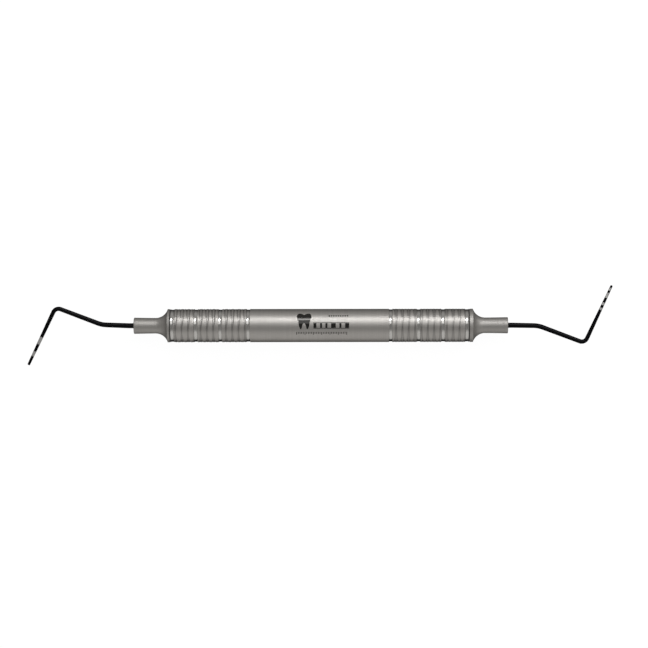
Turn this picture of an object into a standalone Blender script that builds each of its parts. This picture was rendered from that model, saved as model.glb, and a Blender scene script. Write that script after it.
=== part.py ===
"""Double-ended periodontal probe: hollow grooved handle, screw-in end cones and bent graduated probes.

Metres, +Z up.  X is the long axis of the handle, the probes bend in the XY plane, and the origin is on the
axis of the handle at half its length.
"""

import math

import bmesh
import bpy
from mathutils import Vector

MM = 0.001

# --- barrel: one turned tube -------------------------------------------------------------------------------
BARREL_HALF_LENGTH = 44.84 * MM
BARREL_RADIUS = 5.00 * MM
BARREL_BORE_RADIUS = 3.80 * MM
BARREL_EDGE = 0.05 * MM
RING_POSITIONS = (21.40 * MM, 29.80 * MM, 37.13 * MM, 44.28 * MM)
RING_HALF_WIDTH_TOP = 0.48 * MM
RING_HALF_WIDTH_FLOOR = 0.34 * MM
RING_DEPTH = 0.17 * MM
ROUND_SEGMENTS = 64

# --- bush: threaded sleeve pressed into each end of the barrel ---------------------------------------------
BUSH_INNER_END = 37.40 * MM
BUSH_OUTER_END = 44.80 * MM
BUSH_RADIUS = 3.78 * MM
BUSH_BORE_RADIUS = 2.02 * MM
BUSH_CHAMFER = 0.30 * MM

# --- seal: flat ring between the barrel and the flange of the cone -----------------------------------------
SEAL_INNER_END = 44.85 * MM
SEAL_OUTER_END = 45.09 * MM
SEAL_RADIUS = 4.90 * MM
SEAL_BORE_RADIUS = 2.10 * MM

# --- cone: screwed spigot, flange, hollow flare and neck, in one turned piece -------------------------------
SPIGOT_TIP = 38.20 * MM
SPIGOT_RADIUS = 1.97 * MM
SPIGOT_CHAMFER = 0.40 * MM
RELIEF_START = 43.60 * MM
RELIEF_RADIUS = 1.50 * MM
FLANGE_START = 45.10 * MM
FLANGE_END = {-1.0: 45.79 * MM, 1.0: 46.12 * MM}
FLANGE_RADIUS = 5.00 * MM
FLANGE_EDGE = 0.07 * MM
FLARE_END = {-1.0: 49.46 * MM, 1.0: 49.79 * MM}
FLARE_ARC_RADIUS = 3.87 * MM
FLARE_STEPS = 12
NECK_WAIST_RADIUS = 2.34 * MM
NECK_END_RADIUS = 2.44 * MM
NECK_END = {-1.0: 56.00 * MM, 1.0: 56.65 * MM}
NECK_EDGE_RADIUS = 0.26 * MM
CONE_BORE_RADIUS = 0.79 * MM
CONE_BORE_FLOOR = 46.30 * MM
CONE_SEGMENTS = 56

# --- probe: tapered round wire, pressed into the bore of the cone and bent twice ----------------------------
PROBE_ROOT = 46.50 * MM
PROBE_EASE_CORNER = {-1.0: (57.40 * MM, 0.0), 1.0: (58.20 * MM, 0.0)}
PROBE_FIRST_CORNER = {-1.0: (65.75 * MM, -0.32 * MM), 1.0: (65.80 * MM, -0.14 * MM)}
PROBE_SECOND_CORNER = {-1.0: (79.70 * MM, -5.60 * MM), 1.0: (79.72 * MM, -5.41 * MM)}
PROBE_TIP = {-1.0: (87.91 * MM, 11.77 * MM), 1.0: (87.89 * MM, 11.97 * MM)}
PROBE_EASE_RADIUS = 20.0 * MM
PROBE_FIRST_BEND_RADIUS = 8.5 * MM
PROBE_SECOND_BEND_RADIUS = 1.75 * MM
PROBE_ROOT_RADIUS = 0.770 * MM
PROBE_FIRST_CORNER_RADIUS = 0.730 * MM
PROBE_SECOND_CORNER_RADIUS = 0.660 * MM
BLUNT_TIP_RADIUS = 0.400 * MM
BLUNT_TIP_EDGE = 0.05 * MM
ROUND_TIP_RADIUS = 0.360 * MM
PROBE_SEGMENTS = 20

# --- colours -----------------------------------------------------------------------------------------------
SATIN_STEEL = (0.46, 0.45, 0.43, 1.0)
PLAIN_STEEL = (0.52, 0.51, 0.49, 1.0)
SEAL_BLACK = (0.02, 0.02, 0.02, 1.0)
COAT_BLACK = (0.012, 0.012, 0.013, 1.0)


def clear_scene():
    for item in list(bpy.data.objects):
        bpy.data.objects.remove(item, do_unlink=True)


def make_material(name, colour, metallic, roughness):
    material = bpy.data.materials.new(name)
    material.use_nodes = True
    shader = material.node_tree.nodes["Principled BSDF"]
    shader.inputs["Base Color"].default_value = colour
    shader.inputs["Metallic"].default_value = metallic
    shader.inputs["Roughness"].default_value = roughness
    material.diffuse_color = colour
    return material


def finish_object(name, mesh_data, material):
    """Turns a finished bmesh into a named object, smooth except across sharp corners."""
    bmesh.ops.recalc_face_normals(mesh_data, faces=mesh_data.faces)
    for face in mesh_data.faces:
        face.smooth = True
    for edge in mesh_data.edges:
        if edge.calc_face_angle(0.0) > math.radians(28.0):
            edge.smooth = False
    mesh = bpy.data.meshes.new(name)
    mesh_data.to_mesh(mesh)
    mesh_data.free()
    mesh.materials.append(material)
    part = bpy.data.objects.new(name, mesh)
    bpy.context.scene.collection.objects.link(part)
    return part


def turned(name, profile, segments, side, material):
    """Revolves a closed (x, radius) outline about the X axis.  A radius of 0 makes a closed end."""
    mesh_data = bmesh.new()
    rows = []
    for x, radius in profile:
        if radius == 0.0:
            rows.append([mesh_data.verts.new((side * x, 0.0, 0.0))])
            continue
        row = []
        for k in range(segments):
            angle = 2.0 * math.pi * (k + 0.5) / segments
            row.append(mesh_data.verts.new((side * x, radius * math.cos(angle), radius * math.sin(angle))))
        rows.append(row)
    for a, b in zip(rows, rows[1:] + rows[:1]):
        if len(a) == 1 and len(b) == 1:
            continue
        for k in range(segments):
            n = (k + 1) % segments
            if len(a) == 1:
                mesh_data.faces.new((a[0], b[k], b[n]))
            elif len(b) == 1:
                mesh_data.faces.new((a[k], b[0], a[n]))
            else:
                mesh_data.faces.new((a[k], b[k], b[n], a[n]))
    return finish_object(name, mesh_data, material)


def barrel_profile():
    outline = [(-BARREL_HALF_LENGTH, BARREL_BORE_RADIUS)]
    outline.append((-BARREL_HALF_LENGTH, BARREL_RADIUS - BARREL_EDGE))
    outline.append((-BARREL_HALF_LENGTH + BARREL_EDGE, BARREL_RADIUS))
    centres = [-x for x in reversed(RING_POSITIONS)] + list(RING_POSITIONS)
    for x in centres:
        outline.append((x - RING_HALF_WIDTH_TOP, BARREL_RADIUS))
        outline.append((x - RING_HALF_WIDTH_FLOOR, BARREL_RADIUS - RING_DEPTH))
        outline.append((x + RING_HALF_WIDTH_FLOOR, BARREL_RADIUS - RING_DEPTH))
        outline.append((x + RING_HALF_WIDTH_TOP, BARREL_RADIUS))
    outline.append((BARREL_HALF_LENGTH - BARREL_EDGE, BARREL_RADIUS))
    outline.append((BARREL_HALF_LENGTH, BARREL_RADIUS - BARREL_EDGE))
    outline.append((BARREL_HALF_LENGTH, BARREL_BORE_RADIUS))
    return outline


def bush_profile():
    return [
        (BUSH_INNER_END, BUSH_BORE_RADIUS),
        (BUSH_INNER_END, BUSH_RADIUS - BUSH_CHAMFER),
        (BUSH_INNER_END + BUSH_CHAMFER, BUSH_RADIUS),
        (BUSH_OUTER_END, BUSH_RADIUS),
        (BUSH_OUTER_END, BUSH_BORE_RADIUS + BUSH_CHAMFER),
        (BUSH_OUTER_END - BUSH_CHAMFER, BUSH_BORE_RADIUS),
    ]


def seal_profile():
    return [
        (SEAL_INNER_END, SEAL_BORE_RADIUS),
        (SEAL_INNER_END, SEAL_RADIUS),
        (SEAL_OUTER_END, SEAL_RADIUS),
        (SEAL_OUTER_END, SEAL_BORE_RADIUS),
    ]


def cone_profile(side):
    flange_end, flare_end, neck_end = FLANGE_END[side], FLARE_END[side], NECK_END[side]
    outline = [(SPIGOT_TIP, 0.0)]
    outline.append((SPIGOT_TIP, SPIGOT_RADIUS - SPIGOT_CHAMFER))
    outline.append((SPIGOT_TIP + SPIGOT_CHAMFER, SPIGOT_RADIUS))
    outline.append((RELIEF_START, SPIGOT_RADIUS))
    outline.append((RELIEF_START + (SPIGOT_RADIUS - RELIEF_RADIUS), RELIEF_RADIUS))
    outline.append((FLANGE_START, RELIEF_RADIUS))
    outline.append((FLANGE_START, FLANGE_RADIUS - FLANGE_EDGE))
    outline.append((FLANGE_START + FLANGE_EDGE, FLANGE_RADIUS))
    outline.append((flange_end - FLANGE_EDGE, FLANGE_RADIUS))
    centre_radius = NECK_WAIST_RADIUS + FLARE_ARC_RADIUS
    start = math.asin((flare_end - flange_end) / FLARE_ARC_RADIUS)
    for k in range(FLARE_STEPS + 1):
        angle = start * (1.0 - k / FLARE_STEPS)
        x = flare_end - FLARE_ARC_RADIUS * math.sin(angle)
        outline.append((x, centre_radius - FLARE_ARC_RADIUS * math.cos(angle)))
    outline.append((flare_end + 2.2 * MM, NECK_WAIST_RADIUS + 0.02 * MM))
    for k in range(5):
        angle = 0.5 * math.pi * k / 4
        x = neck_end - NECK_EDGE_RADIUS * (1.0 - math.sin(angle))
        outline.append((x, NECK_END_RADIUS - NECK_EDGE_RADIUS * (1.0 - math.cos(angle))))
    outline.append((neck_end, CONE_BORE_RADIUS))
    outline.append((CONE_BORE_FLOOR, CONE_BORE_RADIUS))
    outline.append((CONE_BORE_FLOOR, 0.0))
    return outline


def rounded_path(points, radii, steps):
    """Points and tangents along a polyline whose corners are replaced by arcs."""
    path = []
    points = [Vector((p[0], p[1], 0.0)) for p in points]
    first = (points[1] - points[0]).normalized()
    path.append((points[0], first))
    for corner, before, after, radius, count in zip(points[1:-1], points, points[2:], radii, steps):
        inward = (corner - before).normalized()
        outward = (after - corner).normalized()
        turn = inward.angle(outward)
        reach = radius * math.tan(0.5 * turn)
        sign = 1.0 if inward.cross(outward).z > 0.0 else -1.0
        inside = Vector((-inward.y, inward.x, 0.0)) * sign
        start = corner - inward * reach
        centre = start + inside * radius
        for k in range(count + 1):
            angle = turn * k / count
            tangent = inward * math.cos(angle) + inside * math.sin(angle)
            place = centre - inside * radius * math.cos(angle) + inward * radius * math.sin(angle)
            path.append((place, tangent))
    last = (points[-1] - points[-2]).normalized()
    path.append((points[-1], last))
    return path


def wire_radius(x, y, side, tip_radius):
    """Radius of the wire: nearly even along the shank, tapering over the working end."""
    neck_end, tip = NECK_END[side], PROBE_TIP[side]
    first, second = PROBE_FIRST_CORNER[side], PROBE_SECOND_CORNER[side]
    if x <= first[0]:
        share = max(0.0, (x - neck_end) / (first[0] - neck_end))
        return PROBE_ROOT_RADIUS + (PROBE_FIRST_CORNER_RADIUS - PROBE_ROOT_RADIUS) * share
    if x <= second[0] - 1.0 * MM:
        share = (x - first[0]) / (second[0] - first[0])
        return PROBE_FIRST_CORNER_RADIUS + (PROBE_SECOND_CORNER_RADIUS - PROBE_FIRST_CORNER_RADIUS) * share
    share = min(1.0, max(0.0, (y - second[1]) / (tip[1] - second[1])))
    return PROBE_SECOND_CORNER_RADIUS + (tip_radius - PROBE_SECOND_CORNER_RADIUS) * share


def probe(name, side, tip_radius, blunt, material):
    corners = (
        (PROBE_ROOT, 0.0),
        PROBE_EASE_CORNER[side],
        PROBE_FIRST_CORNER[side],
        PROBE_SECOND_CORNER[side],
        PROBE_TIP[side],
    )
    radii = (PROBE_EASE_RADIUS, PROBE_FIRST_BEND_RADIUS, PROBE_SECOND_BEND_RADIUS)
    path = rounded_path(corners, radii, (2, 7, 14))
    stations = []
    for point, tangent in path[:-1]:
        stations.append((point, tangent, wire_radius(point.x, point.y, side, tip_radius)))
    end, along = path[-1]
    if blunt:
        stations.append((end - along * BLUNT_TIP_EDGE, along, tip_radius))
        stations.append((end, along, tip_radius - BLUNT_TIP_EDGE))
    else:
        for k in range(5):
            angle = 0.5 * math.pi * k / 5
            back = tip_radius * (1.0 - math.sin(angle))
            stations.append((end - along * back, along, tip_radius * math.cos(angle)))
    mesh_data = bmesh.new()
    rows = []
    for point, tangent, radius in stations:
        across = Vector((-tangent.y, tangent.x, 0.0))
        row = []
        for k in range(PROBE_SEGMENTS):
            angle = 2.0 * math.pi * (k + 0.5) / PROBE_SEGMENTS
            offset = across * (radius * math.cos(angle)) + Vector((0.0, 0.0, radius * math.sin(angle)))
            place = point + offset
            row.append(mesh_data.verts.new((side * place.x, side * place.y, place.z)))
        rows.append(row)
    for a, b in zip(rows, rows[1:]):
        for k in range(PROBE_SEGMENTS):
            n = (k + 1) % PROBE_SEGMENTS
            mesh_data.faces.new((a[k], b[k], b[n], a[n]))
    mesh_data.faces.new(rows[0])
    if blunt:
        mesh_data.faces.new(rows[-1])
    else:
        pole = mesh_data.verts.new((side * end.x, side * end.y, 0.0))
        for k in range(PROBE_SEGMENTS):
            mesh_data.faces.new((rows[-1][k], pole, rows[-1][(k + 1) % PROBE_SEGMENTS]))
    return finish_object(name, mesh_data, material)


def build():
    clear_scene()
    barrel_steel = make_material("barrel_satin_steel", SATIN_STEEL, 1.0, 0.34)
    turned("barrel", barrel_profile(), ROUND_SEGMENTS, 1.0, barrel_steel)
    for side, word in ((-1.0, "left"), (1.0, "right")):
        bush_steel = make_material(word + "_bush_steel", PLAIN_STEEL, 1.0, 0.30)
        turned(word + "_bush", bush_profile(), ROUND_SEGMENTS, side, bush_steel)
        seal_rubber = make_material(word + "_seal_rubber", SEAL_BLACK, 0.0, 0.60)
        turned(word + "_seal", seal_profile(), ROUND_SEGMENTS, side, seal_rubber)
        cone_steel = make_material(word + "_cone_satin_steel", SATIN_STEEL, 1.0, 0.36)
        turned(word + "_cone", cone_profile(side), CONE_SEGMENTS, side, cone_steel)
        coat = make_material(word + "_probe_black_coat", COAT_BLACK, 0.0, 0.30)
        tip_radius = BLUNT_TIP_RADIUS if side < 0.0 else ROUND_TIP_RADIUS
        probe(word + "_probe", side, tip_radius, side < 0.0, coat)


build()
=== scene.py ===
"""Looks of the double-ended periodontal probe: satin steel, black coated wires and a plain studio.

Metres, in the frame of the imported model: X along the handle, Z up, the wires bent in the XY plane.
"""

import math

import bmesh
import bpy
import numpy as np
from mathutils import Euler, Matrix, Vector


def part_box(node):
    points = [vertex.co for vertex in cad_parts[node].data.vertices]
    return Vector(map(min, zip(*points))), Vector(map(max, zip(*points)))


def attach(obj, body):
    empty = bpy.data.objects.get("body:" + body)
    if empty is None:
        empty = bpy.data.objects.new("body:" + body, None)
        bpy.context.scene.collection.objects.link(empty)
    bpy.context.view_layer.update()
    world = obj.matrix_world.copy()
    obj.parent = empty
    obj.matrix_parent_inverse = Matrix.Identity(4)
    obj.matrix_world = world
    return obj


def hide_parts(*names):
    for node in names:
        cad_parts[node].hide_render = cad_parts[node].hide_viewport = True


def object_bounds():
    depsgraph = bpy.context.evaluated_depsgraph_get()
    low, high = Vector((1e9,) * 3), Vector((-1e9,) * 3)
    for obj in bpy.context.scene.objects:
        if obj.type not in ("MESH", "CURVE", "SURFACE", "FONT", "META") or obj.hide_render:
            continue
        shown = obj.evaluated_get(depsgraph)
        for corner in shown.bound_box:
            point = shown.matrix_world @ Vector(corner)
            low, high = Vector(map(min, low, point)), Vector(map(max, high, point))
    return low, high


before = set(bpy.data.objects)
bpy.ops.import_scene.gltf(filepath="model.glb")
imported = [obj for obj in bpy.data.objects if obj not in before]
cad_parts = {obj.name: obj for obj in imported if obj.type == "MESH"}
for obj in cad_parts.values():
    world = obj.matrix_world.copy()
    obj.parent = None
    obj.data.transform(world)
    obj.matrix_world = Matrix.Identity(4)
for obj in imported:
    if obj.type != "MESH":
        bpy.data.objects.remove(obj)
CAD_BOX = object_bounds()

MM = 0.001
LEFT = -1.0
RIGHT = 1.0

# --- ends of the pieces along the handle, taken from the frame ---------------------------------------------
BARREL_HALF_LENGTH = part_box("barrel")[1].x
BUSH_INNER_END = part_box("right_bush")[0].x
BUSH_OUTER_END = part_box("right_bush")[1].x
SEAL_INNER_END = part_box("right_seal")[0].x
SEAL_OUTER_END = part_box("right_seal")[1].x
SPIGOT_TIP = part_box("right_cone")[0].x
NECK_END = {LEFT: -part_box("left_cone")[0].x, RIGHT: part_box("right_cone")[1].x}

# --- barrel ------------------------------------------------------------------------------------------------
BARREL_RADIUS = 5.0 * MM
BARREL_BORE_RADIUS = 3.80 * MM
BARREL_EDGE = 0.05 * MM
BARREL_SEGMENTS = 144
BARREL_PLAIN_STEPS = 15
RING_POSITIONS = (21.40 * MM, 29.80 * MM, 37.13 * MM, 44.28 * MM)
RING_HALF_WIDTH = 0.53 * MM
RING_FLOOR_HALF_WIDTH = 0.43 * MM
RING_DEPTH = 0.17 * MM
RING_WALL_STEPS = 4
ROW_BESIDE_RING = 0.05 * MM
CLOSEST_GRIP_ROW = 0.03 * MM
CLOSEST_END_ROW = 0.005 * MM

# --- crossed helical grip grooves --------------------------------------------------------------------------
GRIP_START = RING_POSITIONS[0] + RING_HALF_WIDTH
GRIP_END = RING_POSITIONS[-1] - RING_HALF_WIDTH
GRIP_STEP = 0.09 * MM
GROOVE_LEAD = 1.90 * MM
GROOVE_HALF_WIDTH = 0.35 * MM
GROOVE_WALL_WIDTH = 0.25 * MM
GROOVE_DEPTH = {LEFT: 0.08 * MM, RIGHT: 0.05 * MM}
GROOVE_PHASE = {LEFT: 1.44 * MM, RIGHT: 0.19 * MM}
GROOVE_CROSSING = {LEFT: math.radians(-24.0), RIGHT: math.radians(0.0)}

# --- screw thread of the spigots and bushes, M4 x 0.7, right-handed ----------------------------------------
THREAD_PITCH = 0.70 * MM
THREAD_CREST = 1.97 * MM
THREAD_ROOT = 1.58 * MM
THREAD_CLEARANCE = 0.05 * MM
THREAD_FLANK_SLOPE = 1.35
THREAD_ROOT_FLAT = 0.15
THREAD_SEGMENTS = 64
THREAD_STEP = THREAD_PITCH / 8.0

# --- bushes ------------------------------------------------------------------------------------------------
BUSH_RADIUS = 3.78 * MM
BUSH_INNER_CHAMFER = 0.30 * MM
BUSH_OUTER_CHAMFER = 0.10 * MM
BUSH_THREAD_RADIUS = THREAD_CREST + THREAD_CLEARANCE
BUSH_MOUTH_WIDTH = 0.30 * MM
BUSH_MOUTH_DEPTH = 0.35 * MM
BUSH_BACK_COUNTERSINK = 0.10 * MM

# --- cones -------------------------------------------------------------------------------------------------
CONE_SEGMENTS = 128
SPIGOT_TIP_EDGE = 0.05 * MM
RELIEF_START = 43.60 * MM
RELIEF_RADIUS = 1.50 * MM
RELIEF_EDGE = 0.10 * MM
SEAL_GAP = 0.01 * MM
FLANGE_START = SEAL_OUTER_END + SEAL_GAP
FLANGE_END = {LEFT: 45.79 * MM, RIGHT: 46.12 * MM}
FLANGE_EDGE = 0.07 * MM
FLARE_END = {LEFT: 49.46 * MM, RIGHT: 49.79 * MM}
FLARE_ARC_RADIUS = 3.87 * MM
FLARE_STEPS = 32
NECK_WAIST_RADIUS = 2.34 * MM
NECK_END_RADIUS = 2.44 * MM
NECK_SWELL_POWER = 1.4
NECK_STEPS = 9
NECK_EDGE_RADIUS = 0.26 * MM
NECK_EDGE_STEPS = 8
CONE_BORE_RADIUS = 0.79 * MM
CONE_BORE_EDGE = 0.05 * MM
CONE_BORE_FLOOR = 46.30 * MM

# --- seals -------------------------------------------------------------------------------------------------
SEAL_RADIUS = 4.90 * MM
SEAL_BORE_RADIUS = 2.10 * MM
SEAL_EDGE = 0.06 * MM
SEAL_EDGE_STEPS = 6
SEAL_SEGMENTS = 96

# --- probe wires -------------------------------------------------------------------------------------------
PROBE_ROOT = 46.50 * MM
PROBE_CORNERS = {
    LEFT: (
        (PROBE_ROOT, 0.0),
        (57.40 * MM, 0.0),
        (65.75 * MM, -0.32 * MM),
        (79.70 * MM, -5.60 * MM),
        (87.91 * MM, 11.77 * MM),
    ),
    RIGHT: (
        (PROBE_ROOT, 0.0),
        (58.20 * MM, 0.0),
        (65.80 * MM, -0.14 * MM),
        (79.72 * MM, -5.41 * MM),
        (87.89 * MM, 11.97 * MM),
    ),
}
PROBE_BEND_RADII = (20.0 * MM, 8.5 * MM, 1.75 * MM)
PROBE_BEND_STEP_DEGREES = 3.0
PROBE_LEAST_BEND_STEPS = 4
PROBE_ROOT_RADIUS = 0.770 * MM
PROBE_FIRST_CORNER_RADIUS = 0.730 * MM
PROBE_SECOND_CORNER_RADIUS = 0.660 * MM
PROBE_TIP_RADIUS = {LEFT: 0.400 * MM, RIGHT: 0.360 * MM}
PROBE_TAPER_LEAD = 1.0 * MM
PROBE_RINGS = 90
PROBE_SEGMENTS = 40
BLUNT_TIP_EDGE = 0.05 * MM
ROUND_TIP_STEPS = 8
BARE_BANDS = {
    LEFT: ((2.95 * MM, 4.51 * MM), (6.92 * MM, 9.27 * MM)),
    RIGHT: (
        (0.90 * MM, 1.79 * MM),
        (2.56 * MM, 4.19 * MM),
        (5.75 * MM, 6.60 * MM),
        (7.44 * MM, 8.16 * MM),
    ),
}
BAND_EDGE_CLEARANCE = 0.08 * MM
SAME_PLACE = 1e-9
LEAST_LENGTH = 1e-12

# --- laser mark; u runs along the handle, v from its top towards +Y ----------------------------------------
MARK_THICKNESS = 0.020 * MM
MARK_SINK = 0.012 * MM
MARK_STEP = 0.30 * MM
MARK_SNAP = 0.002 * MM
TOOTH_CENTRE = (-4.55 * MM, 1.40 * MM)
BAR_START = -1.75 * MM
BAR_LENGTH = 10.7 * MM
BAR_RAIL = (0.75 * MM, 0.92 * MM)
BAR_BLOCK_HALF_HEIGHT = 0.70 * MM
BAR_BLOCKS_MM = ((0.0, 0.9), (2.0, 2.6), (3.6, 4.2), (5.3, 6.7), (7.8, 8.4), (9.5, 10.7))
RULER_START = -6.90 * MM
RULER_V = -1.95 * MM
RULER_TICKS = 31
RULER_TICKS_PER_LONG_ONE = 5
TICK_PITCH = 0.5 * MM
TICK_WIDTH = 0.22 * MM
LONG_TICK = 0.95 * MM
SHORT_TICK = 0.65 * MM
DOTS_START = 2.80 * MM
DOTS_V = 3.05 * MM
DOTS = 9
DOT_PITCH = 0.68 * MM
DOT_WIDTH = 0.40 * MM
DOT_HALF_HEIGHT = 0.24 * MM

# --- how far the steel is polished, from 0 for satin to 1 for polished -------------------------------------
SATIN_FINISH = 0.0
BORE_FINISH = 0.2
TURNED_FINISH = 0.3
GROOVE_FINISH = 0.3
EDGE_FINISH = 0.4
THREAD_FINISH = 0.5

# --- colours, and roughness as pairs: satin and polished for steel, least and most for the rest ------------
BARREL_STEEL = (0.485, 0.469, 0.448, 1.0)
CONE_STEEL = (0.43, 0.417, 0.399, 1.0)
BUSH_STEEL = (0.50, 0.49, 0.47, 1.0)
POLISHED_STEEL = (0.66, 0.65, 0.63, 1.0)
# Painted shade: the darker colour given to the grip grooves in place of the shade that falls in them.
GROOVE_SHADE_STEEL = (0.34, 0.329, 0.315, 1.0)
STEEL_EDGE_TINT = (0.45, 0.45, 0.45, 1.0)
BARREL_ROUGHNESS = (0.46, 0.18)
CONE_ROUGHNESS = (0.54, 0.20)
BUSH_ROUGHNESS = (0.35, 0.20)
SEAL_COLOURS = ((0.045, 0.044, 0.042, 1.0), (0.075, 0.073, 0.070, 1.0))
SEAL_ROUGHNESS = (0.50, 0.62)
COAT_COLOURS = ((0.009, 0.009, 0.010, 1.0), (0.012, 0.012, 0.013, 1.0))
COAT_ROUGHNESS = (0.30, 0.35)
COAT_EDGE_TINT = (0.02, 0.02, 0.02, 1.0)
BAND_COLOURS = ((0.56, 0.555, 0.545, 1.0), (0.68, 0.675, 0.665, 1.0))
BAND_ROUGHNESS = (0.36, 0.46)
MARK_COLOURS = ((0.055, 0.054, 0.052, 1.0), (0.070, 0.068, 0.066, 1.0))
MARK_ROUGHNESS = (0.10, 0.15)
MARK_EDGE_TINT = (0.1, 0.1, 0.1, 1.0)
STREAK_GAIN = 1.10
CLOUD_GAIN = 0.96
CLOUD_SHARE = 0.3
CLOUD_WEAR = 0.006
GRAIN_WEAR = 0.03
STREAK_RELIEF = 0.6
GRAIN_RELIEF = 0.4
POLISHED_RELIEF = 0.15
NOISE_ROUGHNESS = 0.55
NOISE_SPAN = (0.3, 0.7)
CLOUD_SPAN = (0.35, 0.65)
FULL_SPAN = (0.0, 1.0)

# --- studio: two panels over the handle, and a room whose walls are ramps on the direction -----------------
PANEL_DISTANCE = 0.62
PANEL_LENGTH = 0.90
KEY_RADIANCE = 5.6
SKIRT_RADIANCE = 0.92
ROOM_COLOUR = (1.0, 0.985, 0.965, 1.0)
ROOM_RADIANCE = 0.22
FLOOR_SIDE_RADIANCE = 0.03
OPEN_ROOM_Z = (-0.65, -0.10)
NEAR_WALL_RADIANCE = 0.37
NEAR_WALL_Y = (-0.80, -0.40)
NEAR_WALL_Z = (-0.58, -0.44)
FAR_WALL_RADIANCE = 0.13
FAR_WALL_Y = (0.45, 0.75)
FAR_WALL_Z = (-0.95, -0.70)
END_WALL_RADIANCE = 0.13
END_WALL_X_SQUARED = (0.10, 0.70)
WHITE = (1.0, 1.0, 1.0, 1.0)
FLOOR_HALF_SIZE = 2.5
FLOOR_COLOUR = (0.12, 0.12, 0.12, 1.0)
FLOOR_ROUGHNESS = 0.9
FLOOR_GLOW = 0.955

# --- camera: from above with a long lens, leaning a little towards the right end ---------------------------
CAMERA_DISTANCE = 0.85
CAMERA_FIELD = 195.2 * MM
CAMERA_TARGET = (1.32 * MM, 0.45 * MM, 0.0)
CAMERA_LEAN = math.radians(1.2)
CAMERA_ROLL = math.radians(-0.08)
CAMERA_NEAREST = 0.01
CAMERA_FARTHEST = 20.0
SENSOR_WIDTH = 36.0


# ===========================================================================================================
# materials
# ===========================================================================================================


class Nodes:
    """A material's node tree with short ways to add and join nodes."""

    def __init__(self, name):
        self.material = bpy.data.materials.new(name)
        self.material.use_nodes = True
        self.tree = self.material.node_tree
        self.shader = self.tree.nodes["Principled BSDF"]
        self.place = self.add("ShaderNodeTexCoord").outputs["Object"]

    def add(self, kind, **settings):
        node = self.tree.nodes.new(kind)
        for key, value in settings.items():
            setattr(node, key, value)
        return node

    def join(self, source, target):
        self.tree.links.new(source, target)

    def attribute(self, name):
        """A number stored on the mesh's vertices."""
        return self.add("ShaderNodeAttribute", attribute_name=name).outputs["Fac"]

    def noise(self, scale, detail=3.0, stretch=(1.0, 1.0, 1.0)):
        """Noise with features 1/scale metres across, drawn out along an axis whose stretch is below 1."""
        mapping = self.add("ShaderNodeMapping")
        mapping.inputs["Scale"].default_value = tuple(scale * s for s in stretch)
        self.join(self.place, mapping.inputs["Vector"])
        texture = self.add("ShaderNodeTexNoise")
        texture.inputs["Scale"].default_value = 1.0
        texture.inputs["Detail"].default_value = detail
        texture.inputs["Roughness"].default_value = NOISE_ROUGHNESS
        self.join(mapping.outputs["Vector"], texture.inputs["Vector"])
        return texture.outputs["Fac"]

    def ranged(self, source, span, values):
        """Carries the two ends of the source's span to the two values, and stays between them."""
        node = self.add("ShaderNodeMapRange")
        sockets = ("From Min", "From Max", "To Min", "To Max")
        for socket, value in zip(sockets, span + values):
            node.inputs[socket].default_value = value
        self.join(source, node.inputs["Value"])
        return node.outputs["Result"]

    def math(self, operation, a, b):
        node = self.add("ShaderNodeMath", operation=operation)
        for socket, value in zip(node.inputs, (a, b)):
            if isinstance(value, (int, float)):
                socket.default_value = value
            else:
                self.join(value, socket)
        return node.outputs["Value"]

    def mix_colour(self, factor, a, b):
        """From a to b as the factor goes from 0 to 1; each colour is a tuple or a socket."""
        node = self.add("ShaderNodeMix", data_type="RGBA")
        first, second = [socket for socket in node.inputs if socket.type == "RGBA"]
        self.join(factor, node.inputs["Factor"])
        for socket, value in ((first, a), (second, b)):
            if isinstance(value, tuple):
                socket.default_value = value
            else:
                self.join(value, socket)
        return [socket for socket in node.outputs if socket.type == "RGBA"][0]

    def bump(self, height, strength, distance):
        node = self.add("ShaderNodeBump")
        node.inputs["Strength"].default_value = strength
        node.inputs["Distance"].default_value = distance
        self.join(height, node.inputs["Height"])
        return node.outputs["Normal"]


def shaded(colour, gain):
    """The colour made brighter or duller."""
    return tuple(channel * gain for channel in colour[:3]) + (1.0,)


def steel_material(name, colour, roughness):
    """Turned satin steel; the mesh attribute "polish" takes it to polished, and "groove" darkens its colour
    as painted shade in the grip grooves.
    """
    n = Nodes(name)
    polish = n.attribute("polish")
    streaks = n.noise(scale=2600.0, detail=2.0, stretch=(1.0, 0.03, 0.03))
    grain = n.noise(scale=7000.0, detail=2.0)
    clouds = n.noise(scale=160.0, detail=4.0)
    satin = n.mix_colour(n.ranged(streaks, NOISE_SPAN, FULL_SPAN), colour, shaded(colour, STREAK_GAIN))
    dullness = n.ranged(clouds, CLOUD_SPAN, (0.0, CLOUD_SHARE))
    satin = n.mix_colour(dullness, satin, shaded(colour, CLOUD_GAIN))
    steel = n.mix_colour(polish, satin, POLISHED_STEEL)
    # Painted shade: the base colour is darkened where the mesh attribute groove marks the grip grooves.
    n.join(n.mix_colour(n.attribute("groove"), steel, GROOVE_SHADE_STEEL), n.shader.inputs["Base Color"])
    cloud_wear = n.ranged(clouds, NOISE_SPAN, (-CLOUD_WEAR, CLOUD_WEAR))
    grain_wear = n.ranged(grain, NOISE_SPAN, (-GRAIN_WEAR, GRAIN_WEAR))
    wear = n.math("ADD", cloud_wear, grain_wear)
    n.join(n.math("ADD", n.ranged(polish, FULL_SPAN, roughness), wear), n.shader.inputs["Roughness"])
    streak_relief = n.math("MULTIPLY", streaks, STREAK_RELIEF)
    grain_relief = n.math("MULTIPLY", grain, GRAIN_RELIEF)
    depth = n.ranged(polish, FULL_SPAN, (1.0, POLISHED_RELIEF))
    relief = n.math("MULTIPLY", n.math("ADD", streak_relief, grain_relief), depth)
    n.join(n.bump(relief, strength=0.35, distance=0.02 * MM), n.shader.inputs["Normal"])
    n.shader.inputs["Metallic"].default_value = 1.0
    n.shader.inputs["Specular Tint"].default_value = STEEL_EDGE_TINT
    return n.material


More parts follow.
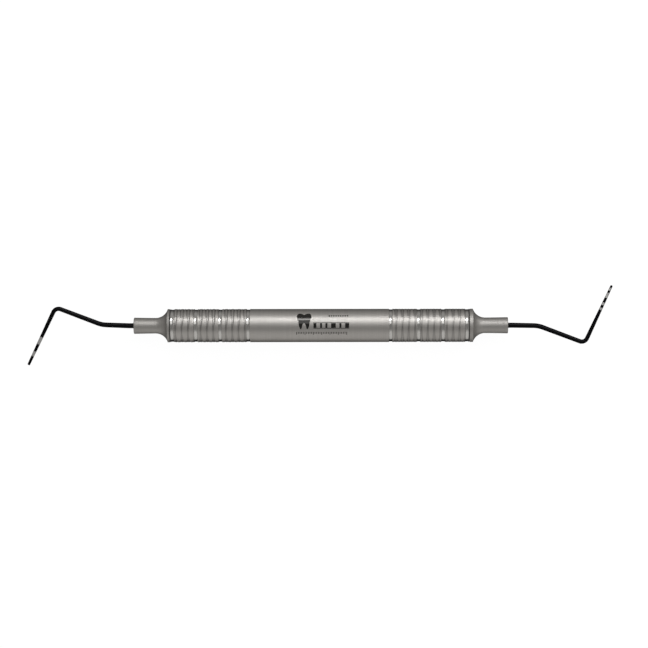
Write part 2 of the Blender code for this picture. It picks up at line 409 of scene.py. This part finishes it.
def seal_material():
    """Matt black rubber."""
    n = Nodes("seal_rubber")
    grain = n.noise(scale=5000.0, detail=2.0)
    n.join(n.mix_colour(grain, *SEAL_COLOURS), n.shader.inputs["Base Color"])
    n.join(n.ranged(grain, NOISE_SPAN, SEAL_ROUGHNESS), n.shader.inputs["Roughness"])
    n.join(n.bump(grain, strength=0.2, distance=0.02 * MM), n.shader.inputs["Normal"])
    return n.material


def coat_material():
    """Smooth black coat on the wires."""
    n = Nodes("probe_black_coat")
    drift = n.noise(scale=900.0)
    n.join(n.mix_colour(drift, *COAT_COLOURS), n.shader.inputs["Base Color"])
    n.join(n.ranged(drift, NOISE_SPAN, COAT_ROUGHNESS), n.shader.inputs["Roughness"])
    n.join(n.bump(n.noise(scale=5000.0), strength=0.05, distance=0.01 * MM), n.shader.inputs["Normal"])
    n.shader.inputs["Metallic"].default_value = 1.0
    n.shader.inputs["Specular Tint"].default_value = COAT_EDGE_TINT
    return n.material


def band_material():
    """Bare steel of the wires, where the coat is taken off in bands."""
    n = Nodes("probe_bare_band")
    streaks = n.noise(scale=4200.0, detail=2.0)
    n.join(n.mix_colour(streaks, *BAND_COLOURS), n.shader.inputs["Base Color"])
    n.join(n.ranged(streaks, NOISE_SPAN, BAND_ROUGHNESS), n.shader.inputs["Roughness"])
    n.join(n.bump(streaks, strength=0.2, distance=0.01 * MM), n.shader.inputs["Normal"])
    n.shader.inputs["Metallic"].default_value = 1.0
    return n.material


def mark_material():
    """Laser mark: a smooth dark oxide film, pale only where it mirrors the key light."""
    n = Nodes("laser_mark")
    grain = n.noise(scale=6000.0, detail=2.0)
    n.join(n.mix_colour(grain, *MARK_COLOURS), n.shader.inputs["Base Color"])
    n.join(n.ranged(grain, NOISE_SPAN, MARK_ROUGHNESS), n.shader.inputs["Roughness"])
    n.join(n.bump(grain, strength=0.1, distance=0.01 * MM), n.shader.inputs["Normal"])
    n.shader.inputs["Metallic"].default_value = 1.0
    n.shader.inputs["Specular Tint"].default_value = MARK_EDGE_TINT
    return n.material


# ===========================================================================================================
# mesh helpers
# ===========================================================================================================


def smoothstep(value):
    value = np.clip(value, 0.0, 1.0)
    return value * value * (3.0 - 2.0 * value)


def angles(segments):
    """Angles about the handle's axis, from +Y towards +Z."""
    return 2.0 * math.pi * np.arange(segments) / segments


def add_to_scene(name, data):
    """A new object with the given mesh, light or camera data."""
    thing = bpy.data.objects.new(name, data)
    bpy.context.scene.collection.objects.link(thing)
    return thing


def settle(piece, body, node, slot, *materials):
    """Gives the piece its materials and its body, and hides the CAD node it stands for; the slot argument is
    not used.
    """
    for material in materials:
        piece.data.materials.append(material)
    if node:
        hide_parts(node)
    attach(piece, body)


def add_attribute(mesh, name, values):
    layer = mesh.attributes.new(name, "FLOAT", "POINT")
    layer.data.foreach_set("value", np.asarray(values, np.float32))


def make_object(name, vertices, faces, polish=None, sharp_degrees=32.0):
    """A smooth-shaded piece whose edges stay sharp where the surface turns by more than sharp_degrees."""
    mesh = bpy.data.meshes.new(name)
    mesh.from_pydata(vertices, [], faces)
    if polish is not None:
        add_attribute(mesh, "polish", polish)
    shell = bmesh.new()
    shell.from_mesh(mesh)
    bmesh.ops.recalc_face_normals(shell, faces=shell.faces)
    for face in shell.faces:
        face.smooth = True
    for edge in shell.edges:
        if edge.calc_face_angle(0.0) > math.radians(sharp_degrees):
            edge.smooth = False
    shell.to_mesh(mesh)
    shell.free()
    return add_to_scene(name, mesh)


def revolve(name, rows, segments, sharp_degrees=32.0):
    """Closed surface from rows of (x, radius, polish); radius may vary round the row, and 0 closes an end."""
    turn = angles(segments)
    vertices, polish, starts, sizes = [], [], [], []
    for x, radius, shine in rows:
        starts.append(len(vertices))
        if np.isscalar(radius) and radius == 0.0:
            vertices.append((x, 0.0, 0.0))
            polish.append(shine)
            sizes.append(1)
            continue
        ring = np.broadcast_to(radius, turn.shape)
        vertices.extend(zip(np.full(segments, x), ring * np.cos(turn), ring * np.sin(turn)))
        polish.extend(np.broadcast_to(shine, turn.shape))
        sizes.append(segments)
    faces = []
    for i in range(len(rows)):
        j = (i + 1) % len(rows)
        a, b = starts[i], starts[j]
        for k in range(segments):
            m = (k + 1) % segments
            if sizes[i] == 1 and sizes[j] == 1:
                break
            if sizes[i] == 1:
                faces.append((a, b + k, b + m))
            elif sizes[j] == 1:
                faces.append((a + k, b, a + m))
            else:
                faces.append((a + k, b + k, b + m, a + m))
    return make_object(name, [tuple(map(float, v)) for v in vertices], faces, polish, sharp_degrees)


def arc(centre_x, centre_r, radius, start, end, steps):
    """Points (x, r) along an arc; angles in degrees, 0 along +x and 90 outwards."""
    points = []
    for k in range(steps + 1):
        angle = math.radians(start + (end - start) * k / steps)
        points.append((centre_x + radius * math.cos(angle), centre_r + radius * math.sin(angle)))
    return points


# ===========================================================================================================
# barrel
# ===========================================================================================================


def ring_shape(x):
    """How much of the ring depth is cut at x, 0 to 1."""
    distance = min(abs(abs(x) - centre) for centre in RING_POSITIONS)
    run = RING_HALF_WIDTH - RING_FLOOR_HALF_WIDTH
    return float(smoothstep((RING_HALF_WIDTH - distance) / run))


def groove_shape(x, turn):
    """How much of the groove depth the two crossed flat-floored helices cut round the row at x, 0 to 1."""
    if not GRIP_START - GROOVE_HALF_WIDTH < abs(x) < GRIP_END + GROOVE_HALF_WIDTH:
        return np.zeros_like(turn)
    side = math.copysign(1.0, x)
    from_crossing = (turn - 0.5 * math.pi + GROOVE_CROSSING[side]) / (2.0 * math.pi)
    cut = np.zeros_like(turn)
    for hand in (-1.0, 1.0):
        offset = abs(x) - GROOVE_PHASE[side] + hand * GROOVE_LEAD * from_crossing
        distance = np.abs(offset / GROOVE_LEAD - np.round(offset / GROOVE_LEAD)) * GROOVE_LEAD
        cut = np.maximum(cut, smoothstep((GROOVE_HALF_WIDTH - distance) / GROOVE_WALL_WIDTH))
    return cut


def barrel_stations():
    """x of each row along the outside of the barrel: close in the grips and at the rings, wide elsewhere."""
    run = RING_HALF_WIDTH - RING_FLOOR_HALF_WIDTH
    offsets = [RING_FLOOR_HALF_WIDTH + run * k / RING_WALL_STEPS for k in range(RING_WALL_STEPS + 1)]
    half = []
    for centre in RING_POSITIONS:
        half.extend(centre + sign * offset for sign in (-1.0, 1.0) for offset in offsets)
        half.append(centre)
    for x in np.arange(GRIP_START, GRIP_END, GRIP_STEP):
        if min(abs(x - centre) for centre in RING_POSITIONS) > RING_HALF_WIDTH + CLOSEST_GRIP_ROW:
            half.append(x)
    plain_end = RING_POSITIONS[0] - RING_HALF_WIDTH
    half.extend(np.linspace(0.0, plain_end, BARREL_PLAIN_STEPS + 1)[1:-1])
    half.append(plain_end - ROW_BESIDE_RING)
    half = sorted(x for x in half if x < BARREL_HALF_LENGTH - BARREL_EDGE - CLOSEST_END_ROW)
    return [-x for x in reversed(half)] + [0.0] + half


def make_barrel(material):
    """Tube with ring and grip grooves; in a grip groove the cutter leaves the steel smoother, and its colour
    is darkened there as painted shade.
    """
    turn = angles(BARREL_SEGMENTS)
    no_painted_shade = np.zeros(BARREL_SEGMENTS)
    end_rows = [
        (BARREL_HALF_LENGTH - BARREL_EDGE, BARREL_RADIUS, EDGE_FINISH),
        (BARREL_HALF_LENGTH, BARREL_RADIUS - BARREL_EDGE, EDGE_FINISH),
        (BARREL_HALF_LENGTH, BARREL_BORE_RADIUS, SATIN_FINISH),
    ]
    rows = [(-x, radius, shine) for x, radius, shine in reversed(end_rows)]
    painted_groove_shade = [no_painted_shade] * len(end_rows)
    for x in barrel_stations():
        ring = ring_shape(x)
        groove = groove_shape(x, turn)
        depth = np.maximum(RING_DEPTH * ring, GROOVE_DEPTH[math.copysign(1.0, x)] * groove)
        shine = np.maximum(smoothstep(2.0 * ring), GROOVE_FINISH * groove)
        rows.append((x, BARREL_RADIUS - depth, shine))
        # Painted shade in the grip grooves, left out at the rings.
        painted_groove_shade.append(groove if ring < 0.5 else no_painted_shade)
    rows.extend(end_rows)
    painted_groove_shade.extend([no_painted_shade] * len(end_rows))
    piece = revolve("barrel_shell", rows, BARREL_SEGMENTS, sharp_degrees=70.0)
    add_attribute(piece.data, "groove", np.concatenate(painted_groove_shade))
    settle(piece, "handle", "barrel", "barrel_satin_steel", material)


# ===========================================================================================================
# bushes, seals and cones; a profile is (x, radius) pairs with x measured from the handle's middle outwards
# ===========================================================================================================


def outward(side, profile, finish):
    """Rows for revolve from a profile, on the piece's own side of the middle."""
    return [(side * x, radius, finish) for x, radius in profile]


def thread_radius(x, turn):
    """Radius of the external thread round the row at x: a triangle wave with flat crests and roots."""
    phase = x / THREAD_PITCH - turn / (2.0 * math.pi)
    wave = 1.0 - 2.0 * np.abs(phase - np.floor(phase) - 0.5)
    height = np.clip(THREAD_FLANK_SLOPE * wave - THREAD_ROOT_FLAT, 0.0, 1.0)
    return THREAD_ROOT + (THREAD_CREST - THREAD_ROOT) * height


def thread_rows(start, end, extra, side, segments):
    """Rows of the thread from start to end, its radius larger by extra."""
    turn = angles(segments)
    steps = int(round((end - start) / THREAD_STEP))
    rows = []
    for k in range(steps + 1):
        x = side * (start + (end - start) * k / steps)
        rows.append((x, thread_radius(x, turn) + extra, THREAD_FINISH))
    return rows


def make_bush(side, word, material):
    outside = [
        (BUSH_INNER_END, BUSH_RADIUS - BUSH_INNER_CHAMFER),
        (BUSH_INNER_END + BUSH_INNER_CHAMFER, BUSH_RADIUS),
        (BUSH_OUTER_END - BUSH_OUTER_CHAMFER, BUSH_RADIUS),
        (BUSH_OUTER_END, BUSH_RADIUS - BUSH_OUTER_CHAMFER),
        (BUSH_OUTER_END, BUSH_THREAD_RADIUS + BUSH_MOUTH_WIDTH),
    ]
    start = BUSH_INNER_END + BUSH_BACK_COUNTERSINK
    end = BUSH_OUTER_END - BUSH_MOUTH_DEPTH
    rows = outward(side, outside, TURNED_FINISH)
    rows.extend(reversed(thread_rows(start, end, THREAD_CLEARANCE, side, THREAD_SEGMENTS)))
    rows.extend(outward(side, [(BUSH_INNER_END, BUSH_THREAD_RADIUS + BUSH_BACK_COUNTERSINK)], TURNED_FINISH))
    piece = revolve(word + "_threaded_bush", rows, THREAD_SEGMENTS, sharp_degrees=40.0)
    settle(piece, "handle", word + "_bush", "bush_steel", material)


def make_seal(side, word, material):
    """Flat ring with a rounded rim."""
    middle = 0.5 * (SEAL_INNER_END + SEAL_OUTER_END)
    half = middle - SEAL_INNER_END
    flat_radius = SEAL_RADIUS - SEAL_EDGE
    profile = [(SEAL_INNER_END, SEAL_BORE_RADIUS), (SEAL_INNER_END, flat_radius)]
    for x, r in arc(0.0, 0.0, 1.0, 180.0, 0.0, SEAL_EDGE_STEPS)[1:-1]:
        profile.append((middle + half * x, flat_radius + SEAL_EDGE * r))
    profile.extend([(SEAL_OUTER_END, flat_radius), (SEAL_OUTER_END, SEAL_BORE_RADIUS)])
    piece = revolve(word + "_seal_ring", outward(side, profile, SATIN_FINISH), SEAL_SEGMENTS)
    settle(piece, word + "_seal_body", word + "_seal", "seal_rubber", material)


def neck_outline(side):
    """(x, r) from the flange's outer face, down the hollow flare and along the neck to its rounded end."""
    start, end = FLARE_END[side], NECK_END[side] - NECK_EDGE_RADIUS
    rise = math.degrees(math.asin((start - FLANGE_END[side]) / FLARE_ARC_RADIUS))
    centre_r = NECK_WAIST_RADIUS + FLARE_ARC_RADIUS
    outline = arc(start, centre_r, FLARE_ARC_RADIUS, -90.0 - rise, -90.0, FLARE_STEPS)
    for k in range(1, NECK_STEPS):
        share = k / NECK_STEPS
        swell = (NECK_END_RADIUS - NECK_WAIST_RADIUS) * share ** NECK_SWELL_POWER
        outline.append((start + (end - start) * share, NECK_WAIST_RADIUS + swell))
    edge_centre_r = NECK_END_RADIUS - NECK_EDGE_RADIUS
    outline.extend(arc(end, edge_centre_r, NECK_EDGE_RADIUS, 90.0, 0.0, NECK_EDGE_STEPS))
    return outline


def cone_rows(side):
    """One turned piece: threaded spigot, relief, flange, hollow flare, neck and the wire's bore."""
    tip = [(SPIGOT_TIP, 0.0), (SPIGOT_TIP, THREAD_ROOT - SPIGOT_TIP_EDGE)]
    relief = [
        (RELIEF_START + RELIEF_EDGE, RELIEF_RADIUS),
        (FLANGE_START - RELIEF_EDGE, RELIEF_RADIUS),
        (FLANGE_START, RELIEF_RADIUS + RELIEF_EDGE),
    ]
    flange = [
        (FLANGE_START, BARREL_RADIUS - FLANGE_EDGE),
        (FLANGE_START + FLANGE_EDGE, BARREL_RADIUS),
        (FLANGE_END[side] - FLANGE_EDGE, BARREL_RADIUS),
    ]
    bore = [
        (NECK_END[side], CONE_BORE_RADIUS + CONE_BORE_EDGE),
        (NECK_END[side] - CONE_BORE_EDGE, CONE_BORE_RADIUS),
        (CONE_BORE_FLOOR, CONE_BORE_RADIUS),
        (CONE_BORE_FLOOR, 0.0),
    ]
    rows = outward(side, tip, TURNED_FINISH)
    rows.extend(thread_rows(SPIGOT_TIP + SPIGOT_TIP_EDGE, RELIEF_START, 0.0, side, CONE_SEGMENTS))
    rows.extend(outward(side, relief, TURNED_FINISH))
    rows.extend(outward(side, flange + neck_outline(side), SATIN_FINISH))
    rows.extend(outward(side, bore, BORE_FINISH))
    return rows


def make_cone(side, word, material):
    piece = revolve(word + "_cone_body", cone_rows(side), CONE_SEGMENTS, sharp_degrees=40.0)
    settle(piece, word + "_tip", word + "_cone", "cone_satin_steel", material)


# ===========================================================================================================
# probe wires
# ===========================================================================================================


def wire_line(side):
    """The wire's centreline as if at the right end, bends rounded: rows of (distance, point, direction)."""
    corners = [Vector((x, y, 0.0)) for x, y in PROBE_CORNERS[side]]
    line = [(corners[0], (corners[1] - corners[0]).normalized())]
    for before, corner, after, radius in zip(corners, corners[1:], corners[2:], PROBE_BEND_RADII):
        inward = (corner - before).normalized()
        onward = (after - corner).normalized()
        turn = inward.angle(onward)
        left = Vector((-inward.y, inward.x, 0.0))
        inside = left if left.dot(onward) > 0.0 else -left
        start = corner - inward * radius * math.tan(0.5 * turn)
        centre = start + inside * radius
        steps = max(PROBE_LEAST_BEND_STEPS, int(math.degrees(turn) / PROBE_BEND_STEP_DEGREES))
        for k in range(steps + 1):
            angle = turn * k / steps
            point = centre - inside * radius * math.cos(angle) + inward * radius * math.sin(angle)
            line.append((point, inward * math.cos(angle) + inside * math.sin(angle)))
    line.append((corners[-1], (corners[-1] - corners[-2]).normalized()))
    rows = []
    distance = 0.0
    for i, (point, direction) in enumerate(line):
        if i:
            distance += (point - line[i - 1][0]).length
        rows.append((distance, point, direction))
    return rows


def wire_point(line, distance):
    """Point and direction at a distance along the centreline."""
    for (d0, p0, t0), (d1, p1, t1) in zip(line, line[1:]):
        if distance <= d1 + SAME_PLACE:
            share = (distance - d0) / max(d1 - d0, LEAST_LENGTH)
            return p0.lerp(p1, share), t0.lerp(t1, share).normalized()
    return line[-1][1], line[-1][2]


def between(start, end, share):
    return start + (end - start) * share


def wire_radius(point, side):
    """Nearly even along the shank, then tapering over the working end."""
    first, second, tip = PROBE_CORNERS[side][2:]
    if point.x <= first[0]:
        share = max(0.0, (point.x - NECK_END[side]) / (first[0] - NECK_END[side]))
        return between(PROBE_ROOT_RADIUS, PROBE_FIRST_CORNER_RADIUS, share)
    if point.x <= second[0] - PROBE_TAPER_LEAD:
        share = (point.x - first[0]) / (second[0] - first[0])
        return between(PROBE_FIRST_CORNER_RADIUS, PROBE_SECOND_CORNER_RADIUS, share)
    share = min(1.0, max(0.0, (point.y - second[1]) / (tip[1] - second[1])))
    return between(PROBE_SECOND_CORNER_RADIUS, PROBE_TIP_RADIUS[side], share)


def wire_stations(line, side):
    """(distance, point, direction, radius) of each ring of the wire; each edge of a band has a ring."""
    length, end, along = line[-1]
    tip = PROBE_TIP_RADIUS[side]
    tip_length = BLUNT_TIP_EDGE if side == LEFT else tip
    places = {row[0] for row in line[:-1]}
    places.update(np.linspace(0.0, length - tip_length, PROBE_RINGS))
    edges = [length - d for band in BARE_BANDS[side] for d in band]
    places = [p for p in places if min(abs(p - edge) for edge in edges) > BAND_EDGE_CLEARANCE]
    stations = []
    for place in sorted(places + edges):
        point, direction = wire_point(line, place)
        stations.append((place, point, direction, wire_radius(point, side)))
    if side == LEFT:
        stations.append((length, end, along, tip - BLUNT_TIP_EDGE))
        return stations
    for k in range(1, ROUND_TIP_STEPS):
        angle = 0.5 * math.pi * k / ROUND_TIP_STEPS
        back = tip * (1.0 - math.sin(angle))
        stations.append((length - back, end - along * back, along, tip * math.cos(angle)))
    return stations


def wire_slots(stations, length, side):
    """Material of each stretch between two rings: 0 for the coat and 1 for bare steel."""
    slots = []
    for station, following in zip(stations, stations[1:]):
        from_tip = length - 0.5 * (station[0] + following[0])
        slots.append(int(any(near < from_tip < far for near, far in BARE_BANDS[side])))
    return slots


def make_probe(side, word, coat, bare):
    """The wire: rings round its centreline, a flat root, and a blunt tip on the left or a round one."""
    line = wire_line(side)
    stations = wire_stations(line, side)
    length, end, _ = line[-1]
    vertices, faces, slots = [], [], []
    for _, point, direction, radius in stations:
        across = Vector((-direction.y, direction.x, 0.0))
        for angle in angles(PROBE_SEGMENTS):
            spot = point + across * (radius * math.cos(angle)) + Vector((0.0, 0.0, radius * math.sin(angle)))
            vertices.append((side * spot.x, side * spot.y, spot.z))
    for i, slot in enumerate(wire_slots(stations, length, side)):
        a, b = i * PROBE_SEGMENTS, (i + 1) * PROBE_SEGMENTS
        for k in range(PROBE_SEGMENTS):
            m = (k + 1) % PROBE_SEGMENTS
            faces.append((a + k, b + k, b + m, a + m))
            slots.append(slot)
    last = (len(stations) - 1) * PROBE_SEGMENTS
    faces.append(tuple(range(PROBE_SEGMENTS)))
    if side == LEFT:
        faces.append(tuple(last + k for k in range(PROBE_SEGMENTS)))
    else:
        vertices.append((side * end.x, side * end.y, 0.0))
        for k in range(PROBE_SEGMENTS):
            faces.append((last + k, len(vertices) - 1, last + (k + 1) % PROBE_SEGMENTS))
    slots.extend([0] * (len(faces) - len(slots)))
    piece = make_object(word + "_probe_wire", vertices, faces)
    settle(piece, word + "_tip", word + "_probe", "probe_black_coat", coat, bare)
    piece.data.polygons.foreach_set("material_index", slots)


# ===========================================================================================================
# laser mark
# ===========================================================================================================


def tooth_outline():
    """Outline of a plain two-rooted tooth, 4.4 mm wide and 5.2 mm tall, centred on 0."""
    right = [
        (0.00, 1.95),
        (0.35, 2.25),
        (0.90, 2.55),
        (1.45, 2.60),
        (1.95, 2.30),
        (2.20, 1.70),
        (2.15, 0.90),
        (1.85, 0.20),
        (1.65, -0.60),
        (1.55, -1.50),
        (1.25, -2.30),
        (0.95, -2.60),
        (0.70, -2.20),
        (0.55, -1.40),
        (0.30, -0.85),
        (0.00, -0.65),
    ]
    left = [(-u, v) for u, v in reversed(right[1:-1])]
    return [(u * MM, v * MM) for u, v in right + left]


def rectangle(u0, u1, v0, v1):
    return [(u0, v0), (u1, v0), (u1, v1), (u0, v1)]


def film_point(u, v, height):
    """Where a flat point of the mark comes to lie round the barrel, height above the film's underside."""
    radius = BARREL_RADIUS - MARK_SINK + height
    turn = v / BARREL_RADIUS
    return (u, radius * math.sin(turn), radius * math.cos(turn))


def cut_sheet(outlines):
    """Places, faces and rim edges of the flat outlines, cut every MARK_STEP of v so that they can bend."""
    sheet = bmesh.new()
    for outline in outlines:
        sheet.faces.new([sheet.verts.new((u, v, 0.0)) for u, v in outline])
    lowest = min(vert.co.y for vert in sheet.verts)
    highest = max(vert.co.y for vert in sheet.verts)
    upwards = (0.0, 1.0, 0.0)
    for v in np.arange(lowest + MARK_STEP, highest, MARK_STEP):
        parts = sheet.verts[:] + sheet.edges[:] + sheet.faces[:]
        spot = (0.0, v, 0.0)
        bmesh.ops.bisect_plane(sheet, geom=parts, dist=MARK_SNAP, plane_co=spot, plane_no=upwards)
    bmesh.ops.triangulate(sheet, faces=[face for face in sheet.faces if len(face.verts) > 4])
    sheet.verts.index_update()
    places = [(vert.co.x, vert.co.y) for vert in sheet.verts]
    faces = [tuple(vert.index for vert in face.verts) for face in sheet.faces]
    rims = [tuple(vert.index for vert in edge.verts) for edge in sheet.edges if edge.is_boundary]
    sheet.free()
    return places, faces, rims


def wrapped_film(name, outlines, material):
    """Closed thin film wrapped round the barrel: underside, top and the walls between them."""
    places, underside, rims = cut_sheet(outlines)
    count = len(places)
    top = [tuple(count + i for i in face) for face in underside]
    walls = [(a, b, count + b, count + a) for a, b in rims]
    vertices = [film_point(u, v, height) for height in (0.0, MARK_THICKNESS) for u, v in places]
    mesh = bpy.data.meshes.new(name)
    mesh.from_pydata(vertices, [], underside + top + walls)
    film = bmesh.new()
    film.from_mesh(mesh)
    bmesh.ops.recalc_face_normals(film, faces=film.faces)
    film.to_mesh(mesh)
    film.free()
    settle(add_to_scene(name, mesh), "handle", None, "barrel_satin_steel", material)


def bar_outlines():
    """Two rails with blocks between them, like a graduated bar."""
    inner, outer = BAR_RAIL
    bars = [
        rectangle(BAR_START, BAR_START + BAR_LENGTH, inner, outer),
        rectangle(BAR_START, BAR_START + BAR_LENGTH, -outer, -inner),
    ]
    for start, end in BAR_BLOCKS_MM:
        u0, u1 = BAR_START + start * MM, BAR_START + end * MM
        bars.append(rectangle(u0, u1, -BAR_BLOCK_HALF_HEIGHT, BAR_BLOCK_HALF_HEIGHT))
    return bars


def ruler_outlines():
    """Ticks that hang from one line, every fifth one long."""
    ticks = []
    for k in range(RULER_TICKS):
        u = RULER_START + TICK_PITCH * k
        height = LONG_TICK if k % RULER_TICKS_PER_LONG_ONE == 0 else SHORT_TICK
        ticks.append(rectangle(u, u + TICK_WIDTH, RULER_V - height, RULER_V))
    return ticks


def dot_outlines():
    dots = []
    for k in range(DOTS):
        u = DOTS_START + DOT_PITCH * k
        dots.append(rectangle(u, u + DOT_WIDTH, DOTS_V - DOT_HALF_HEIGHT, DOTS_V + DOT_HALF_HEIGHT))
    return dots


def make_marks(material):
    """A tooth, a graduated bar, a ruler and dots, where the real handle has its printing.  No lettering."""
    tooth = [(u + TOOTH_CENTRE[0], v + TOOTH_CENTRE[1]) for u, v in tooth_outline()]
    wrapped_film("mark_tooth", [tooth], material)
    wrapped_film("mark_bar", bar_outlines(), material)
    wrapped_film("mark_ruler", ruler_outlines(), material)
    wrapped_film("mark_dots", dot_outlines(), material)


# ===========================================================================================================
# studio
# ===========================================================================================================


def make_floor(height):
    """Plain pale floor, evenly lit, which the metal doesn't mirror."""
    half = FLOOR_HALF_SIZE
    mesh = bpy.data.meshes.new("floor")
    corners = ((-half, -half), (half, -half), (half, half), (-half, half))
    mesh.from_pydata([(x, y, height) for x, y in corners], [], [(0, 1, 2, 3)])
    floor = add_to_scene("floor", mesh)
    floor.visible_glossy = False
    floor.visible_shadow = False
    n = Nodes("pale_floor")
    n.shader.inputs["Base Color"].default_value = FLOOR_COLOUR
    n.shader.inputs["Roughness"].default_value = FLOOR_ROUGHNESS
    n.shader.inputs["Specular IOR Level"].default_value = 0.0
    n.shader.inputs["Emission Color"].default_value = WHITE
    n.shader.inputs["Emission Strength"].default_value = FLOOR_GLOW
    floor.data.materials.append(n.material)


def make_panel(name, angle_degrees, across_degrees, shift, radiance):
    """A soft light panel over the handle, long in X; its angle is from straight up towards +Y."""
    light = bpy.data.lights.new(name, "AREA")
    light.shape = "RECTANGLE"
    light.size = PANEL_LENGTH
    light.size_y = 2.0 * PANEL_DISTANCE * math.tan(math.radians(0.5 * across_degrees))
    light.energy = radiance * math.pi * light.size * light.size_y
    panel = add_to_scene(name, light)
    angle = math.radians(angle_degrees)
    panel.location = (shift, PANEL_DISTANCE * math.sin(angle), PANEL_DISTANCE * math.cos(angle))
    panel.rotation_euler = (-angle, 0.0, 0.0)
    panel.visible_camera = False


def make_world():
    """A dim room with pale walls, the brightest towards -Y; white where the camera looks past the floor."""
    world = bpy.data.worlds.new("studio")
    world.use_nodes = True
    bpy.context.scene.world = world
    tree = world.node_tree
    tree.nodes.clear()
    output = tree.nodes.new("ShaderNodeOutputWorld")
    room = tree.nodes.new("ShaderNodeBackground")
    white = tree.nodes.new("ShaderNodeBackground")
    white.inputs["Color"].default_value = WHITE
    chooser = tree.nodes.new("ShaderNodeMixShader")
    seen = tree.nodes.new("ShaderNodeLightPath")
    tree.links.new(seen.outputs["Is Camera Ray"], chooser.inputs["Fac"])
    tree.links.new(room.outputs["Background"], chooser.inputs[1])
    tree.links.new(white.outputs["Background"], chooser.inputs[2])
    tree.links.new(chooser.outputs["Shader"], output.inputs["Surface"])
    place = tree.nodes.new("ShaderNodeTexCoord")
    split = tree.nodes.new("ShaderNodeSeparateXYZ")
    tree.links.new(place.outputs["Generated"], split.inputs["Vector"])
    x, y, z = (split.outputs[axis] for axis in "XYZ")

    def ramp(source, span, values):
        node = tree.nodes.new("ShaderNodeMapRange")
        node.interpolation_type = "SMOOTHSTEP"
        for socket, value in zip(("From Min", "From Max", "To Min", "To Max"), span + values):
            node.inputs[socket].default_value = value
        tree.links.new(source, node.inputs["Value"])
        return node.outputs["Result"]

    def multiply_add(a, b, c):
        node = tree.nodes.new("ShaderNodeMath")
        node.operation = "MULTIPLY_ADD"
        for socket, value in zip(node.inputs, (a, b, c)):
            if isinstance(value, float):
                socket.default_value = value
            else:
                tree.links.new(value, socket)
        return node.outputs["Value"]

    near_wall = ramp(y, NEAR_WALL_Y, (NEAR_WALL_RADIANCE, 0.0))
    above_floor = ramp(z, NEAR_WALL_Z, (0.0, 1.0))
    far_wall = ramp(y, FAR_WALL_Y, (0.0, FAR_WALL_RADIANCE))
    above_table = ramp(z, FAR_WALL_Z, (0.0, 1.0))
    open_room = ramp(z, OPEN_ROOM_Z, (FLOOR_SIDE_RADIANCE, ROOM_RADIANCE))
    end_walls = ramp(multiply_add(x, x, 0.0), END_WALL_X_SQUARED, (0.0, END_WALL_RADIANCE))
    lit = multiply_add(near_wall, above_floor, multiply_add(far_wall, above_table, open_room))
    tree.links.new(multiply_add(end_walls, 1.0, lit), room.inputs["Strength"])
    room.inputs["Color"].default_value = ROOM_COLOUR


def make_camera():
    camera_data = bpy.data.cameras.new("camera")
    camera_data.sensor_width = SENSOR_WIDTH
    camera_data.lens = SENSOR_WIDTH * CAMERA_DISTANCE / CAMERA_FIELD
    camera_data.clip_start = CAMERA_NEAREST
    camera_data.clip_end = CAMERA_FARTHEST
    camera = add_to_scene("camera", camera_data)
    turned = Euler((0.0, CAMERA_LEAN, CAMERA_ROLL))
    camera.rotation_euler = turned
    camera.location = Vector(CAMERA_TARGET) + turned.to_matrix() @ Vector((0.0, 0.0, CAMERA_DISTANCE))
    bpy.context.scene.camera = camera


# ===========================================================================================================
# build
# ===========================================================================================================


def build():
    barrel_steel = steel_material("barrel_satin_steel", BARREL_STEEL, BARREL_ROUGHNESS)
    cone_steel = steel_material("cone_satin_steel", CONE_STEEL, CONE_ROUGHNESS)
    bush_steel = steel_material("bush_steel", BUSH_STEEL, BUSH_ROUGHNESS)
    rubber = seal_material()
    coat = coat_material()
    bare = band_material()
    make_barrel(barrel_steel)
    for side, word in ((LEFT, "left"), (RIGHT, "right")):
        make_bush(side, word, bush_steel)
        make_seal(side, word, rubber)
        make_cone(side, word, cone_steel)
        make_probe(side, word, coat, bare)
    make_marks(mark_material())
    make_floor(CAD_BOX[0].z)
    make_panel("key_panel", angle_degrees=44.5, across_degrees=12.5, shift=0.31, radiance=KEY_RADIANCE)
    make_panel("key_skirt", angle_degrees=23.0, across_degrees=20.0, shift=0.20, radiance=SKIRT_RADIANCE)
    make_world()
    make_camera()
    bpy.context.scene.view_settings.view_transform = "Standard"


build()
